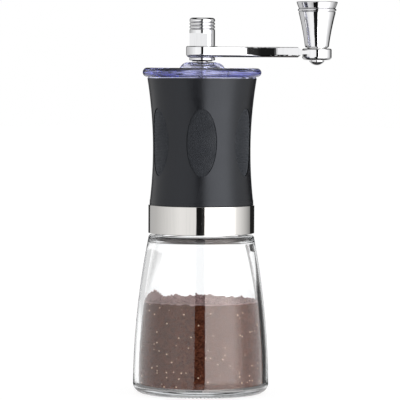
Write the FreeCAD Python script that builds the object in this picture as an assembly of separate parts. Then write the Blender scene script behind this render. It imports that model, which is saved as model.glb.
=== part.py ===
import FreeCAD, Part
import math
import os

# Hand crank coffee grinder: a glass jar, a waisted grip body that holds a conical
# burr mill, a clear lid, and a crank on top. Millimetres, +Z up, the origin on the
# mill's axis at the foot of the jar, the crank arm along +X.

# Fits and clearances
running_fit = 0.05
slide_fit = 0.15
air_gap = 0.3

# Glass jar
jar_radius = 36.4
jar_heel_round = 5.2
jar_foot_width = 5.0
jar_punt_depth = 1.2
jar_side_height = 78.2
jar_side_bow = 1.8
jar_shoulder_radius = 28.4
jar_shoulder_round = 1.6
jar_wall = 2.8
jar_floor = 4.4
jar_floor_round = 2.4
neck_radius = 24.6
neck_wall = 2.6
neck_height = 10.8
neck_lip_round = 0.9
thread_room = 0.7

# Jar seal
seal_thickness = 1.6
seal_margin = 0.25

# Steel band
band_radius = 28.45
band_wall = 0.6
band_height = 15.1
band_gap = 0.9
band_lip_width = 1.1
band_edge_round = 0.25

# Grip body
body_base_radius = 27.9
body_waist_radius = 26.16
body_top_radius = 29.3
body_height = 67.8
body_waist_height = 28.7
body_foot_bevel = 0.4
body_wall = 2.6
mouth_depth = 11.8
mouth_wall = 3.3

# Grip pads
pad_count = 6
pad_width = 16.2
pad_height = 36.1
pad_pocket = 1.0
pad_thickness = 0.7

# Lid
lid_step_height = 0.6
lid_step_inset = 0.3
lid_rim_radius = 31.8
lid_rim_height = 5.0
lid_plate = 2.8
lid_spigot_depth = 4.0
lid_spigot_wall = 2.0
dome_base_radius = 11.9
dome_top_radius = 6.6
dome_height = 3.0
dome_bulge = 0.75
dome_wall = 2.4
lid_bore_gap = 1.2

# Drive shaft
shaft_radius = 3.0
shaft_flat = 2.4
shaft_square = 4.2
stud_radius = 1.95
foot_stud_radius = 2.25
shaft_end_margin = 0.8

# Hub collar
collar_gap = 0.4
collar_radius = 6.9
collar_height = 1.5
collar_neck_radius = 5.4
collar_neck_height = 0.5
collar_round = 0.4

# Crank arm
crank_throw = 61.4
hub_radius = 8.6
hub_height = 6.2
hub_low_round = 2.0
hub_top_round = 0.7
bar_height = 5.6
bar_mid_width = 6.6
bar_low_round = 1.5
bar_top_round = 0.5
pinch_height = 2.0
pinch_reach = 8.0
pinch_slope = 2.5
eye_radius = 7.9
eye_height = 6.3
eye_drop = 1.1
eye_low_round = 1.9
eye_top_round = 0.9

# Crank nut
nut_radius = 6.83
nut_height = 15.2
nut_top_round = 1.5
nut_bead_count = 3
nut_bead_pitch = 1.74
nut_bead_depth = 0.65
nut_first_groove = 2.5
nut_flat_height = 6.9
nut_flat_offset = 3.65
nut_flat_turn = -32.0
nut_cap = 4.5

# Knob with its screw and washer
knob_height = 24.6
knob_base_radius = 6.4
knob_cone_radius = 9.95
knob_cone_height = 18.9
knob_cone_hollow = 0.35
knob_groove_depth = 0.35
knob_bead_radius = 10.3
knob_bead_height = 1.7
knob_lip_radius = 11.0
knob_edge_round = 0.5
knob_washer_radius = 5.2
knob_washer_thickness = 0.4
knob_screw_radius = 2.4
knob_screw_grip = 13.0
knob_screw_tip = 1.0
screw_head_radius = 3.94
screw_head_height = 2.7
screw_head_edge = 0.7
screw_slot_width = 0.9
screw_slot_depth = 0.9

# Upper bearing bridge
bridge_thickness = 2.5
bridge_ring_width = 2.0
bridge_hub_radius = 6.5
bridge_hub_height = 7.0
spoke_count = 3
spoke_width = 3.2
first_spoke = 90.0
bush_wall = 1.35
bush_flange_radius = 5.7
bush_flange_thickness = 0.8
thrust_washer_radius = 5.5
thrust_washer_thickness = 0.5
clip_radius = 4.6
clip_thickness = 0.6
clip_groove_depth = 0.55
clip_mouth = 3.4

# Hopper core
flange_thickness = 3.0
core_wall = 2.85
core_ceiling = 2.0
throat_radius = 15.0
throat_height = 3.0
funnel_lip = 0.8
spider_height = 5.0
lower_hub_radius = 6.2
lower_hub_height = 7.0
boss_height = 13.0
boss_radius = 2.8
core_screw_count = 3
core_screw_radius = 1.15
core_screw_grip = 8.0
core_screw_head_radius = 1.9
core_screw_head_height = 1.2
first_core_screw = 30.0

# Ring burr with its retainer
cutter_over = 0.5
ring_burr_radius = 17.5
ring_burr_height = 14.0
ring_burr_top_radius = 15.6
ring_tooth_count = 24
ring_tooth_depth = 0.7
ring_tooth_skew = 12.0
burr_gap = 0.45
retainer_thickness = 1.8
retainer_margin = 0.6
retainer_rim = 3.0
retainer_screw_count = 3
retainer_screw_radius = 0.85
retainer_screw_grip = 5.0
retainer_head_radius = 1.6
retainer_head_height = 0.9
first_retainer_screw = 90.0

# Cone burr
cone_radius = 14.0
cone_top_radius = 8.6
cone_height = 17.0
cone_edge_height = 2.0
cone_drop = 0.6
cone_bore_cap = 4.0
coarse_count = 8
coarse_depth = 2.2
coarse_width = 4.2
coarse_skew = 34.0
coarse_reach = 11.0
fine_count = 32
fine_depth = 0.8
fine_skew = 10.0
fine_reach = 6.0

# Burr carrier, spring and adjuster
carrier_radius = 11.4
carrier_thickness = 2.6
carrier_stem_radius = 5.4
carrier_stem_height = 9.0
spring_washer_radius = 5.8
spring_washer_thickness = 0.6
spring_wire = 0.9
spring_radius = 4.6
spring_turns = 4
spring_length = 9.0
adjuster_radius = 9.4
adjuster_height = 4.5
adjuster_boss_radius = 6.0
adjuster_boss_height = 0.8
adjuster_scallops = 10
adjuster_scallop_radius = 2.0
adjuster_scallop_depth = 0.8
adjuster_travel = 2.0

# Heights of the stack, from the foot up
neck_root = jar_heel_round + jar_side_height + jar_shoulder_round
neck_top = neck_root + neck_height
core_base = neck_top + seal_thickness
band_base = neck_root + band_gap
body_base = band_base + band_height
body_foot = body_base + body_foot_bevel
body_top = body_base + body_height
waist_z = body_base + body_waist_height
mouth_ledge = body_top - mouth_depth
lid_rim_base = body_top + lid_step_height
lid_top = lid_rim_base + lid_rim_height
dome_top = lid_top + dome_height
collar_base = dome_top + collar_gap
arm_base = collar_base + collar_neck_height + collar_height
arm_top = arm_base + hub_height
nut_top = arm_top + nut_height
eye_base = arm_base - eye_drop
eye_top = eye_base + eye_height
knob_base = eye_top + knob_washer_thickness + running_fit
knob_top = knob_base + knob_height

# Heights of the mill, from its retainer up and down
ring_burr_base = core_base + retainer_thickness
ring_burr_top = ring_burr_base + ring_burr_height
cone_base = ring_burr_base - cone_drop
cone_top = cone_base + cone_height
spring_top = cone_top + spring_length
lower_hub_base = spring_top + spring_washer_thickness + running_fit
funnel_top = lower_hub_base + spider_height
carrier_base = cone_base - carrier_thickness
adjuster_base = carrier_base - adjuster_boss_height - adjuster_height
end_clip_top = adjuster_base - adjuster_travel - air_gap
shaft_end = end_clip_top - clip_thickness - shaft_end_margin

# Heights of the upper bearing
bridge_hub_base = mouth_ledge + bridge_thickness / 2 - bridge_hub_height / 2
bridge_hub_top = bridge_hub_base + bridge_hub_height
thrust_base = bridge_hub_top + bush_flange_thickness + running_fit
shaft_clip_base = thrust_base + thrust_washer_thickness + running_fit

# Radii that several pieces share
jar_foot_radius = jar_radius - jar_heel_round
neck_inner = neck_radius - neck_wall
skirt_inner = neck_radius + thread_room
skirt_outer = band_radius - band_wall - running_fit
mouth_radius = body_top_radius - mouth_wall
core_radius = ring_burr_radius + running_fit + core_wall
boss_circle = (core_radius + skirt_inner) / 2
retainer_radius = ring_burr_radius + retainer_rim
retainer_circle = ring_burr_radius + running_fit + core_wall / 2
bush_radius = shaft_radius + running_fit + bush_wall
spigot_radius = mouth_radius - slide_fit

V = FreeCAD.Vector
AXIS = V(0, 0, 1)
CENTRE = V(0, 0, 0)
HALF = math.sqrt(0.5)
TINY = 1e-6


class Section:
    """A closed half section in the XZ plane, drawn run by run and spun about Z."""

    def __init__(self, r, z):
        self.start = V(r, 0, z)
        self.here = self.start
        self.edges = []

    def to(self, r, z):
        """Straight run to (r, z)."""
        there = V(r, 0, z)
        if there.distanceToPoint(self.here) > TINY:
            self.edges.append(Part.makeLine(self.here, there))
            self.here = there
        return self

    def via(self, mid_r, mid_z, r, z):
        """Arc through a middle point to (r, z)."""
        there = V(r, 0, z)
        self.edges.append(Part.Arc(self.here, V(mid_r, 0, mid_z), there).toShape())
        self.here = there
        return self

    def rise(self, r, z):
        """Quarter round that starts level and ends upright at (r, z)."""
        mid_r = self.here.x + (r - self.here.x) * HALF
        mid_z = z + (self.here.z - z) * HALF
        return self.via(mid_r, mid_z, r, z)

    def crown(self, r, z):
        """Quarter round that starts upright and ends level at (r, z)."""
        mid_r = r + (self.here.x - r) * HALF
        mid_z = self.here.z + (z - self.here.z) * HALF
        return self.via(mid_r, mid_z, r, z)

    def dome(self, z):
        """Arc to the axis at height z, level where it gets there."""
        rise = self.here.z - z
        sphere = (self.here.x ** 2 + rise ** 2) / (2 * rise)
        turn = math.asin(self.here.x / abs(sphere)) / 2
        mid_z = z + sphere * (1 - math.cos(turn))
        return self.via(abs(sphere) * math.sin(turn), mid_z, 0, z)

    def spin(self):
        """Close the section and spin it into one solid."""
        self.to(self.start.x, self.start.z)
        return Part.Face(Part.Wire(self.edges)).revolve(CENTRE, AXIS, 360)


def rod(radius, low, high, x=0.0, y=0.0):
    """Upright cylinder between two heights."""
    return Part.makeCylinder(radius, high - low, V(x, y, low))


def ring(outer, inner, low, high):
    """Upright ring between two heights."""
    return rod(outer, low, high).cut(rod(inner, low, high))


def bar(length, width, low, high):
    """Upright box from the axis out along +X, centred on it."""
    return Part.makeBox(length, width, high - low, V(0, -width / 2, low))


def around(shape, count, first=0.0):
    """Copies of a shape, evenly spaced about the axis."""
    step = 360 / count
    return [shape.rotated(CENTRE, AXIS, first + step * i) for i in range(count)]


def polar(radius, degrees, z):
    """Point at a radius, a turn about the axis and a height."""
    turn = math.radians(degrees)
    return V(radius * math.cos(turn), radius * math.sin(turn), z)


def glass_jar():
    """Jar with a thick base, a gently swelling side, a tight shoulder and a plain neck."""
    side_top = jar_heel_round + jar_side_height
    side_mid = jar_heel_round + jar_side_height / 2
    side_mid_radius = (jar_radius + jar_shoulder_radius) / 2 + jar_side_bow
    foot_inner = jar_foot_radius - jar_foot_width
    outer = Section(0, jar_punt_depth).to(foot_inner - jar_punt_depth, jar_punt_depth)
    outer.to(foot_inner, 0).to(jar_foot_radius, 0).rise(jar_radius, jar_heel_round)
    outer.via(side_mid_radius, side_mid, jar_shoulder_radius, side_top)
    outer.crown(jar_shoulder_radius - jar_shoulder_round, neck_root).to(neck_radius, neck_root)
    outer.to(neck_radius, neck_top - neck_lip_round)
    outer.crown(neck_radius - neck_lip_round, neck_top).to(0, neck_top)
    hollow_wall = jar_radius - jar_wall
    hollow_base = jar_floor + jar_floor_round
    hollow_top = side_top - jar_wall - jar_shoulder_round
    hollow = Section(0, jar_floor).to(hollow_wall - jar_floor_round, jar_floor)
    hollow.rise(hollow_wall, hollow_base)
    hollow.via(side_mid_radius - jar_wall, side_mid, jar_shoulder_radius - jar_wall, hollow_top)
    hollow.crown(neck_inner, side_top).to(neck_inner, neck_top).to(0, neck_top)
    return outer.spin().cut(hollow.spin())


def jar_seal():
    """Flat ring between the jar's lip and the core."""
    return ring(neck_radius + seal_margin, neck_inner - seal_margin, neck_top, core_base)


def steel_band():
    """Polished band round the skirt, turned in under it."""
    inner = band_radius - band_wall
    lip_inner = inner - band_lip_width
    lip_top = band_base + band_wall
    profile = Section(lip_inner, band_base).to(band_radius - band_edge_round, band_base)
    profile.rise(band_radius, band_base + band_edge_round)
    profile.to(band_radius, body_base - band_edge_round)
    profile.crown(band_radius - band_edge_round, body_base).to(inner, body_base)
    profile.to(inner, lip_top).to(lip_inner, lip_top)
    return profile.spin()


def waisted(inset):
    """The grip body's outside, filled, and drawn in by an inset."""
    profile = Section(0, body_base).to(body_base_radius - inset - body_foot_bevel, body_base)
    profile.to(body_base_radius - inset, body_foot)
    profile.via(body_waist_radius - inset, waist_z, body_top_radius - inset, body_top)
    return profile.to(0, body_top).spin()


def waisted_radius(z, inset):
    """Radius of the inset grip outline at one height."""
    low = V(body_base_radius - inset, 0, body_foot)
    mid = V(body_waist_radius - inset, 0, waist_z)
    high = V(body_top_radius - inset, 0, body_top)
    circle = Part.Arc(low, mid, high).toShape().Curve
    return circle.Center.x - math.sqrt(circle.Radius ** 2 - (z - circle.Center.z) ** 2)


def pad_prism(fit):
    """Oval bar through the front of the grip, less a fit all round."""
    centre = V(0, 0, (body_base + body_top) / 2)
    oval = Part.Ellipse(centre, pad_height / 2 - fit, pad_width / 2 - fit)
    edge = oval.toShape()
    edge.rotate(centre, V(0, 0, 1), 90)
    edge.rotate(centre, V(1, 0, 0), 90)
    return Part.Face(Part.Wire(edge)).extrude(V(0, -2 * body_top_radius, 0))


def grip_pads():
    """Oval pads, each set a little below the grip's surface."""
    floor = waisted(pad_pocket - running_fit)
    face = waisted(pad_pocket - pad_thickness)
    pad = pad_prism(running_fit).common(face).cut(floor)
    return around(pad, pad_count)


def grip_body():
    """Waisted shell with pad pockets, a bridge ledge, screw bosses and a skirt."""
    shell = waisted(0).cut(waisted(body_wall))
    mouth_pipe = rod(body_top_radius, mouth_ledge, body_top).common(waisted(0))
    mouth = rod(mouth_radius, mouth_ledge, body_top)
    skirt = ring(skirt_outer, skirt_inner, band_base + band_wall, body_base + body_wall)
    flange_room = rod(skirt_inner, band_base, core_base + flange_thickness)
    pockets = pad_prism(0).cut(waisted(pad_pocket))
    boss_base = core_base + flange_thickness
    boss = rod(boss_radius, boss_base, boss_base + boss_height, boss_circle)
    core_room = rod(core_radius + slide_fit, boss_base, boss_base + boss_height)
    bosses = around(boss.common(waisted(pad_pocket)).cut(core_room), core_screw_count, first_core_screw)
    pilot_top = boss_base + core_screw_grip + air_gap
    pilot = rod(core_screw_radius + running_fit, boss_base, pilot_top, boss_circle)
    pilots = around(pilot, core_screw_count, first_core_screw)
    body = shell.fuse([mouth_pipe, skirt.cut(flange_room)] + bosses)
    return body.cut([mouth] + pilots + around(pockets, pad_count)).removeSplitter()


def lid():
    """Clear lid: spigot, step, bullnose rim and a low hollow dome round the shaft."""
    step_radius = body_top_radius - lid_step_inset
    rim_round = lid_rim_height / 2
    rim_flat = lid_rim_radius - rim_round
    under = lid_top - lid_plate
    spigot_base = body_top - lid_spigot_depth
    bore = shaft_radius + lid_bore_gap
    brow_radius = (dome_top_radius + dome_base_radius) / 2 + dome_bulge
    brow_z = (dome_top + lid_top) / 2 + dome_bulge
    hollow_top = dome_top - dome_wall
    profile = Section(bore, dome_top).to(dome_top_radius, dome_top)
    profile.via(brow_radius, brow_z, dome_base_radius, lid_top)
    profile.to(rim_flat, lid_top)
    profile.via(lid_rim_radius, lid_rim_base + rim_round, rim_flat, lid_rim_base)
    profile.to(step_radius, lid_rim_base).to(step_radius, body_top).to(spigot_radius, body_top)
    profile.to(spigot_radius, spigot_base).to(spigot_radius - lid_spigot_wall, spigot_base)
    profile.to(spigot_radius - lid_spigot_wall, under).to(dome_base_radius - dome_wall / 2, under)
    inner_brow = dome_wall * HALF
    profile.via(brow_radius - inner_brow, brow_z - inner_brow, dome_top_radius - dome_wall / 2, hollow_top)
    return profile.to(bore, hollow_top).spin()


def bearing_bridge():
    """Three-armed bridge that carries the upper bush under the lid."""
    outer = mouth_radius - running_fit
    top = mouth_ledge + bridge_thickness
    rim = ring(outer, outer - bridge_ring_width, mouth_ledge, top)
    arm = bar(outer - bridge_ring_width / 2, spoke_width, mouth_ledge, top)
    hub = rod(bridge_hub_radius, bridge_hub_base, bridge_hub_top)
    bridge = rim.fuse(around(arm, spoke_count, first_spoke) + [hub])
    return bridge.cut(rod(bush_radius + running_fit, bridge_hub_base, bridge_hub_top)).removeSplitter()


def upper_bush():
    """Flanged bush in the bridge."""
    flange_top = bridge_hub_top + bush_flange_thickness
    sleeve = rod(bush_radius, bridge_hub_base, bridge_hub_top)
    flange = rod(bush_flange_radius, bridge_hub_top, flange_top)
    bore = rod(shaft_radius + running_fit, bridge_hub_base, flange_top)
    return sleeve.fuse(flange).cut(bore)


def lower_bush():
    """Plain bush in the core's hub."""
    top = lower_hub_base + lower_hub_height
    return ring(bush_radius, shaft_radius + running_fit, lower_hub_base, top)


def core_outside():
    """The core's outside, filled: flange, socket wall and funnel."""
    rim = waisted_radius(funnel_top, body_wall) - slide_fit
    ceiling = ring_burr_top + core_ceiling
    profile = Section(0, core_base).to(skirt_inner - slide_fit, core_base)
    profile.to(skirt_inner - slide_fit, core_base + flange_thickness)
    profile.to(core_radius, core_base + flange_thickness).to(core_radius, ceiling)
    return profile.to(rim, funnel_top).to(0, funnel_top).spin()


def core_inside():
    """Room in the core: retainer seat, burr socket, throat and funnel."""
    rim = waisted_radius(funnel_top, body_wall) - slide_fit - funnel_lip
    socket = ring_burr_radius + running_fit
    seat = retainer_radius + running_fit
    profile = Section(0, core_base).to(seat, core_base).to(seat, ring_burr_base)
    profile.to(socket, ring_burr_base).to(socket, ring_burr_top).to(throat_radius, ring_burr_top)
    profile.to(throat_radius, ring_burr_top + throat_height)
    return profile.to(rim, funnel_top).to(0, funnel_top).spin()


def hopper_core():
    """Funnel and burr socket in one moulding, with three arms for the lower bush."""
    outside = core_outside()
    arm = bar(skirt_inner, spoke_width, lower_hub_base, funnel_top)
    arms = [shape.common(outside) for shape in around(arm, spoke_count, first_spoke)]
    hub_top = lower_hub_base + lower_hub_height
    hub = rod(lower_hub_radius, lower_hub_base, hub_top)
    bore = rod(bush_radius + running_fit, lower_hub_base, hub_top)
    flange_top = core_base + flange_thickness
    head_room = core_base + core_screw_head_height + air_gap
    passage = rod(core_screw_radius + running_fit, core_base, flange_top, boss_circle)
    sink = rod(core_screw_head_radius + running_fit, core_base, head_room, boss_circle)
    pilot_top = ring_burr_base + retainer_screw_grip + air_gap
    pilot = rod(retainer_screw_radius + running_fit, ring_burr_base, pilot_top, retainer_circle)
    holes = around(passage.fuse(sink), core_screw_count, first_core_screw)
    holes += around(pilot, retainer_screw_count, first_retainer_screw)
    core = outside.cut(core_inside()).fuse(arms + [hub])
    return core.cut([bore] + holes).removeSplitter()


def core_screws():
    """Screws up through the core's flange into the grip body's bosses."""
    head_top = core_base + core_screw_head_height + air_gap
    head_base = head_top - core_screw_head_height
    shank_top = core_base + flange_thickness + core_screw_grip
    head = rod(core_screw_head_radius, head_base, head_top, boss_circle)
    shank = rod(core_screw_radius, head_base, shank_top, boss_circle)
    return Part.makeCompound(around(head.fuse(shank), core_screw_count, first_core_screw))


def groove(start, end, width, depth):
    """V cut along a line, with its deep edge a depth towards the axis."""
    along = end - start
    middle = (start + end) * 0.5
    outward = V(middle.x, middle.y, 0)
    side = along.cross(outward).normalize()
    normal = side.cross(along).normalize()
    lift = start + normal * depth * cutter_over
    reach = side * (width / 2) * (1 + cutter_over)
    corners = [lift + reach, lift - reach, start - normal * depth]
    wire = Part.makePolygon(corners + corners[:1])
    return Part.Face(wire).extrude(along)


def ring_burr():
    """Ring burr: slanted teeth cut in a bore that opens upwards."""
    base_radius = cone_radius + burr_gap
    profile = Section(base_radius, ring_burr_base).to(ring_burr_radius, ring_burr_base)
    profile.to(ring_burr_radius, ring_burr_top).to(ring_burr_top_radius, ring_burr_top)
    blank = profile.spin()
    over = ring_tooth_depth
    half_pitch = math.pi * base_radius / ring_tooth_count
    low = polar(base_radius, 0, ring_burr_base - over)
    high = polar(ring_burr_top_radius, ring_tooth_skew, ring_burr_top + over)
    cutter = groove(low, high, half_pitch, -ring_tooth_depth)
    return blank.cut(around(cutter, ring_tooth_count))


def burr_retainer():
    """Ring under the ring burr that holds it in the core's socket."""
    blank = ring(retainer_radius, cone_radius + retainer_margin, core_base, ring_burr_base)
    hole = rod(retainer_screw_radius + running_fit, core_base, ring_burr_base, retainer_circle)
    return blank.cut(around(hole, retainer_screw_count, first_retainer_screw))


def retainer_screws():
    """Small screws up through the retainer into the core."""
    head = rod(retainer_head_radius, core_base - retainer_head_height, core_base, retainer_circle)
    shank_top = ring_burr_base + retainer_screw_grip
    shank = rod(retainer_screw_radius, core_base - retainer_head_height, shank_top, retainer_circle)
    return Part.makeCompound(around(head.fuse(shank), retainer_screw_count, first_retainer_screw))


def cone_radius_at(height):
    """Radius of the cone burr at a height above its base."""
    share = (height - cone_edge_height) / (cone_height - cone_edge_height)
    return cone_radius + (cone_top_radius - cone_radius) * share


def cone_burr():
    """Cone burr: coarse breaker flutes above, fine slanted teeth at the rim."""
    stem_room = carrier_stem_radius + running_fit
    profile = Section(0, cone_base).to(cone_radius, cone_base)
    profile.to(cone_radius, cone_base + cone_edge_height).to(cone_top_radius, cone_top).to(0, cone_top)
    stem_top = cone_top - cone_bore_cap
    bores = [rod(stem_room, cone_base, stem_top), rod(shaft_radius + air_gap, cone_base, cone_top)]
    coarse_base = cone_height - coarse_reach
    coarse_low = polar(cone_radius_at(coarse_base), 0, cone_base + coarse_base)
    coarse_top = cone_height + coarse_depth
    coarse_high = polar(cone_radius_at(coarse_top), coarse_skew, cone_base + coarse_top)
    fine_low = polar(cone_radius, 0, cone_base - fine_depth)
    fine_high = polar(cone_radius_at(fine_reach) + fine_depth * cutter_over, fine_skew, cone_base + fine_reach)
    fine_width = math.pi * cone_radius / fine_count
    cutters = around(groove(coarse_low, coarse_high, coarse_width, coarse_depth), coarse_count)
    cutters += around(groove(fine_low, fine_high, fine_width, fine_depth), fine_count)
    return profile.spin().cut(bores).cut(cutters)


def flatted(radius, flat, low, high):
    """Round bar with two flats."""
    slab = Part.makeBox(2 * radius, 2 * flat, high - low, V(-radius, -flat, low))
    return rod(radius, low, high).common(slab)


def burr_carrier():
    """Plastic carrier that keys the cone burr to the shaft's flats."""
    plate = rod(carrier_radius, carrier_base, cone_base)
    stem_top = cone_base + carrier_stem_height
    stem = rod(carrier_stem_radius, cone_base, stem_top)
    keyway = flatted(shaft_radius + running_fit, shaft_flat + running_fit, carrier_base, stem_top)
    return plate.fuse(stem).cut(keyway).removeSplitter()


def helix_point(turn):
    """Point of the spring's middle line, and its direction there, after some turns."""
    pitch = (spring_length - spring_wire - 2 * running_fit) / spring_turns
    angle = 2 * math.pi * turn
    foot = cone_top + running_fit + spring_wire / 2
    point = V(spring_radius * math.cos(angle), spring_radius * math.sin(angle), foot + pitch * turn)
    ahead = V(-math.sin(angle), math.cos(angle), pitch / (2 * math.pi * spring_radius))
    return point, ahead.normalize()


def biarc(start, start_way, end, end_way):
    """Two arcs that meet smoothly between two points with set directions."""
    span = end - start
    both = start_way + end_way
    a = 2 * (1 - start_way.dot(end_way))
    b = span.dot(both)
    reach = (math.sqrt(b * b + a * span.dot(span)) - b) / a
    first = start + start_way * reach
    last = end - end_way * reach
    joint = (first + last) * 0.5
    return [tangent_arc(start, first, joint), tangent_arc(joint, last, end)]


def tangent_arc(start, corner, end):
    """Arc that touches both legs of a corner with equal legs."""
    chord_mid = (start + end) * 0.5
    rise = corner - chord_mid
    half_chord = (end - start).Length / 2
    leg = (corner - start).Length
    sagitta = rise.Length * half_chord / (leg + half_chord)
    return Part.Arc(start, chord_mid + rise.normalize() * sagitta, end).toShape()


def burr_spring():
    """Spring that presses the cone burr down, as one wire on quarter turns."""
    edges = []
    quarters = 4 * spring_turns
    for step in range(quarters):
        start, start_way = helix_point(step / 4)
        end, end_way = helix_point((step + 1) / 4)
        edges += biarc(start, start_way, end, end_way)
    first, first_way = helix_point(0)
    ring_wire = Part.Wire(Part.Circle(first, first_way, spring_wire / 2).toShape())
    gap = helix_point(1)[0].z - helix_point(0)[0].z - spring_wire
    print("spring: least gap between turns", round(gap, 2), "mm")
    return Part.Wire(edges).makePipeShell([ring_wire], True, False)


def spring_washer():
    """Washer between the spring and the core's hub."""
    top = spring_top + spring_washer_thickness
    return ring(spring_washer_radius, shaft_radius + running_fit, spring_top, top)


def adjuster_nut():
    """Scalloped nut that sets how high the cone burr sits."""
    plate_top = adjuster_base + adjuster_height
    plate = rod(adjuster_radius, adjuster_base, plate_top)
    boss = rod(adjuster_boss_radius, plate_top, carrier_base)
    scallop_circle = adjuster_radius + adjuster_scallop_radius - adjuster_scallop_depth
    scallop = rod(adjuster_scallop_radius, adjuster_base, plate_top, scallop_circle)
    bore = rod(foot_stud_radius + running_fit, adjuster_base, carrier_base)
    return plate.fuse(boss).cut(around(scallop, adjuster_scallops) + [bore])


def clip(radius, low):
    """Open retaining clip in a groove of a shaft of some radius."""
    seat = radius - clip_groove_depth + running_fit
    outer = clip_radius + radius - shaft_radius
    mouth = Part.makeBox(outer, clip_mouth, clip_thickness, V(0, -clip_mouth / 2, low))
    return ring(outer, seat, low, low + clip_thickness).cut(mouth)


def clip_groove(radius, low):
    """Room for a clip in a shaft of some radius."""
    top = low + clip_thickness + running_fit
    return ring(2 * radius, radius - clip_groove_depth, low - running_fit, top)


def drive_shaft():
    """Stepped shaft: adjuster stud, flats, round journal, square and top stud."""
    flats_base = carrier_base + air_gap
    flats_top = cone_base + carrier_stem_height + air_gap
    stud_top = nut_top - nut_cap - air_gap
    square_top = arm_top - air_gap
    half = shaft_square / 2
    square = Part.makeBox(shaft_square, shaft_square, square_top - arm_base, V(-half, -half, arm_base))
    pieces = [flatted(shaft_radius, shaft_flat, flats_base, flats_top)]
    pieces += [rod(shaft_radius, flats_top, arm_base), square, rod(stud_radius, square_top, stud_top)]
    stud = rod(foot_stud_radius, shaft_end, flats_base)
    grooves = [clip_groove(foot_stud_radius, end_clip_top - clip_thickness)]
    grooves += [clip_groove(shaft_radius, shaft_clip_base)]
    return stud.fuse(pieces).cut(grooves).removeSplitter()


def thrust_washer():
    """Washer between the upper bush and the shaft's clip."""
    top = thrust_base + thrust_washer_thickness
    return ring(thrust_washer_radius, shaft_radius + running_fit, thrust_base, top)


def hub_collar():
    """Polished collar under the arm's hub, with a narrow neck towards the lid."""
    bore = shaft_radius + running_fit
    seat = collar_base + collar_neck_height
    profile = Section(bore, collar_base).to(collar_neck_radius, collar_base)
    profile.to(collar_neck_radius, seat).to(collar_radius - collar_round, seat)
    profile.rise(collar_radius, seat + collar_round).to(collar_radius, arm_base - collar_round)
    return profile.crown(collar_radius - collar_round, arm_base).to(bore, arm_base).spin()


def pebble(radius, low, high, low_round, top_round):
    """Upright disc with rounded lower and upper edges."""
    profile = Section(0, low).to(radius - low_round, low).rise(radius, low + low_round)
    profile.to(radius, high - top_round).crown(radius - top_round, high)
    return profile.to(0, high).spin()


def bar_side(hand, z):
    """One hollow side of the bar in plan, from the hub's flank to the eye's flank."""
    hub_flank = V(0, hand * hub_radius, z)
    waist = V(crank_throw / 2, hand * bar_mid_width / 2, z)
    eye_flank = V(crank_throw, hand * eye_radius, z)
    return Part.Arc(hub_flank, waist, eye_flank).toShape()


def arm_bar():
    """Waisted bar between the hub and the pinch, rounded along its edges."""
    low = arm_base + (hub_height - bar_height) / 2
    high = low + bar_height
    near = bar_side(-1, low)
    far = bar_side(1, low)
    hub_end = Part.makeLine(near.Vertexes[0].Point, far.Vertexes[0].Point)
    eye_end = Part.makeLine(near.Vertexes[-1].Point, far.Vertexes[-1].Point)
    plan = Part.Wire(Part.sortEdges([near, eye_end, far, hub_end])[0])
    blank = Part.Face(plan).extrude(V(0, 0, bar_height))
    for level, size in ((low, bar_low_round), (high, bar_top_round)):
        runs = [edge for edge in blank.Edges if along_bar(edge, level)]
        blank = blank.makeFillet(size, runs)
    middle = (low + high) / 2
    pinch = crank_throw - pinch_reach
    top_side = [V(0, 0, high), V(pinch - pinch_slope, 0, high), V(pinch, 0, middle + pinch_height / 2)]
    top_side += [V(crank_throw, 0, middle + pinch_height / 2)]
    low_side = [V(crank_throw, 0, middle - pinch_height / 2), V(pinch, 0, middle - pinch_height / 2)]
    low_side += [V(pinch - pinch_slope, 0, low), V(0, 0, low)]
    outline = Part.makePolygon(top_side + low_side + top_side[:1])
    side = Part.Face(outline).extrude(V(0, 2 * hub_radius, 0))
    return blank.common(side.translated(V(0, -hub_radius, 0)))


def along_bar(edge, level):
    """True for an edge that runs along the bar at one height."""
    start, end = edge.Vertexes[0].Point, edge.Vertexes[-1].Point
    is_level = abs(start.z - level) < TINY and abs(end.z - level) < TINY
    return is_level and abs(start.x - end.x) > crank_throw / 2


def crank_arm():
    """Arm with a round hub on the shaft's square and a round eye for the knob."""
    hub = pebble(hub_radius, arm_base, arm_top, hub_low_round, hub_top_round)
    eye = pebble(eye_radius, eye_base, eye_top, eye_low_round, eye_top_round)
    half = shaft_square / 2 + running_fit
    square = Part.makeBox(2 * half, 2 * half, hub_height, V(-half, -half, arm_base))
    bore = rod(knob_screw_radius + running_fit, eye_base, eye_top, crank_throw)
    arm = hub.fuse([arm_bar(), eye.translated(V(crank_throw, 0, 0))])
    return arm.cut([square, bore]).removeSplitter()


def crank_nut():
    """Finger nut: beads at its head, two flats at its foot, a blind bore."""
    head = nut_top - nut_first_groove
    root = nut_radius - nut_bead_depth
    profile = Section(0, arm_top).to(nut_radius, arm_top)
    lowest = head - (nut_bead_count - 1) * nut_bead_pitch
    half = nut_bead_pitch / 2
    profile.to(nut_radius, lowest - half).crown(root, lowest)
    for index in range(nut_bead_count - 1):
        foot = lowest + index * nut_bead_pitch
        profile.via(nut_radius, foot + half, root, foot + nut_bead_pitch)
    profile.rise(nut_radius, head + half).to(nut_radius, nut_top - nut_top_round)
    profile.crown(nut_radius - nut_top_round, nut_top).to(0, nut_top)
    bore = rod(stud_radius + running_fit, arm_top - hub_height, nut_top - nut_cap)
    slab = Part.makeBox(2 * nut_radius, nut_radius, nut_flat_height, V(-nut_radius, nut_flat_offset, arm_top))
    flats = around(slab, 2, nut_flat_turn)
    return profile.spin().cut([bore] + flats)


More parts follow.
